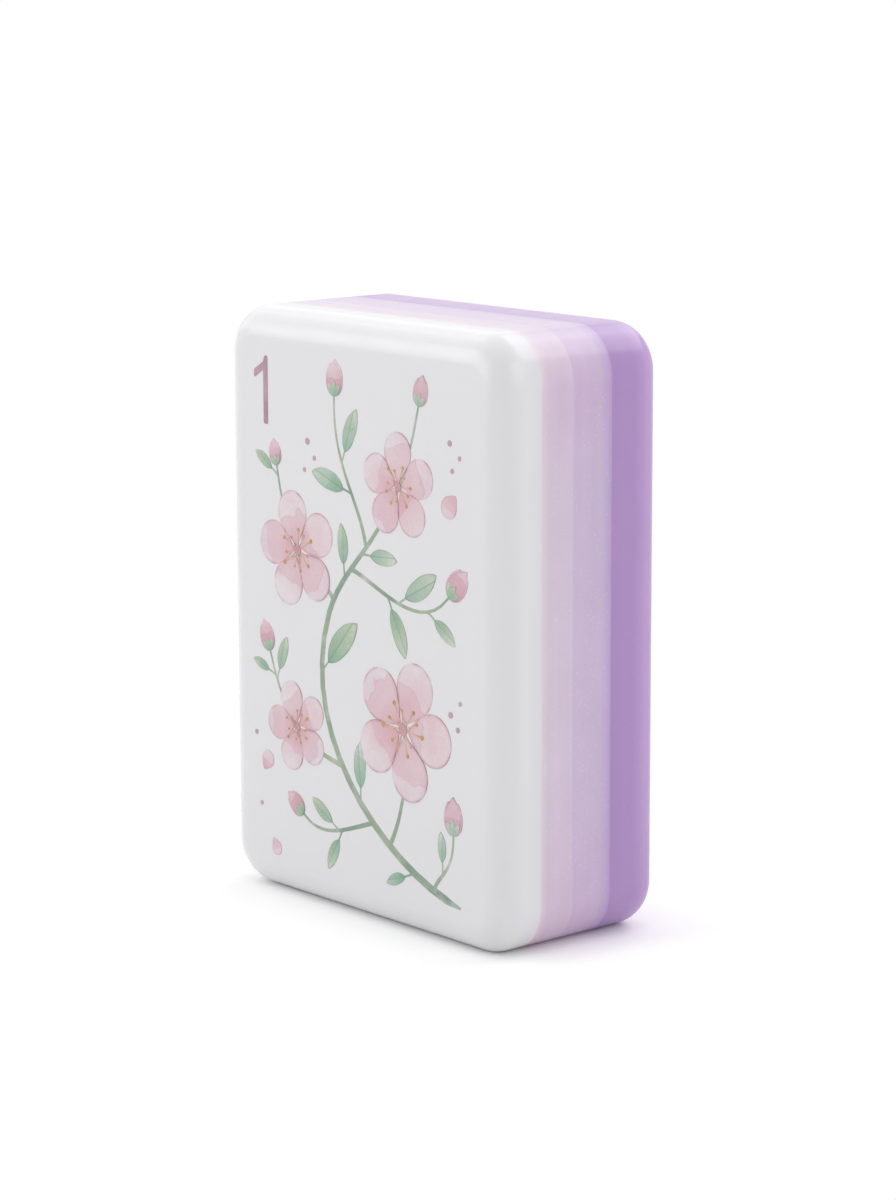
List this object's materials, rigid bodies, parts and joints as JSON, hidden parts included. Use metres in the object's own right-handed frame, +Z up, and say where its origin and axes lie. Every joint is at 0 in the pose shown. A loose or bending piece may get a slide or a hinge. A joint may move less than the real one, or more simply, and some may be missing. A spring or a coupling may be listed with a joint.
{
  "type": "mahjong tile",
  "caption": "Upright rounded mahjong tile of bonded layers: white printed face, pink and lilac pearl middle, solid purple back.",
  "frame": {"origin": "middle of the tile's footprint on the surface that it stands on", "axes": "+Z up along the tile's height, +X to the right across the face, -Y out of the printed face"},
  "size_m": [0.0216, 0.0104, 0.03],
  "materials": {
    "white_face": "polished",
    "pink_pearl": "polished pearl",
    "lilac_pearl": "polished pearl",
    "purple_back": "polished",
    "bond_film": "clear adhesive, polished with the edge",
    "stem_ink": "cured ink",
    "leaf_ink": "cured ink",
    "petal_ink": "cured ink",
    "bud_ink": "cured ink"
  },
  "bodies": {
    "root": {"white_face_layer": "white_face", "front_bond_film": "bond_film", "pink_pearl_layer": "pink_pearl", "middle_bond_film": "bond_film", "lilac_pearl_layer": "lilac_pearl", "rear_bond_film": "bond_film", "purple_back_layer": "purple_back", "printed_branch": "stem_ink", "printed_leaves": "leaf_ink", "printed_petals": "petal_ink", "printed_buds": "bud_ink"}
  },
  "joints": []
}
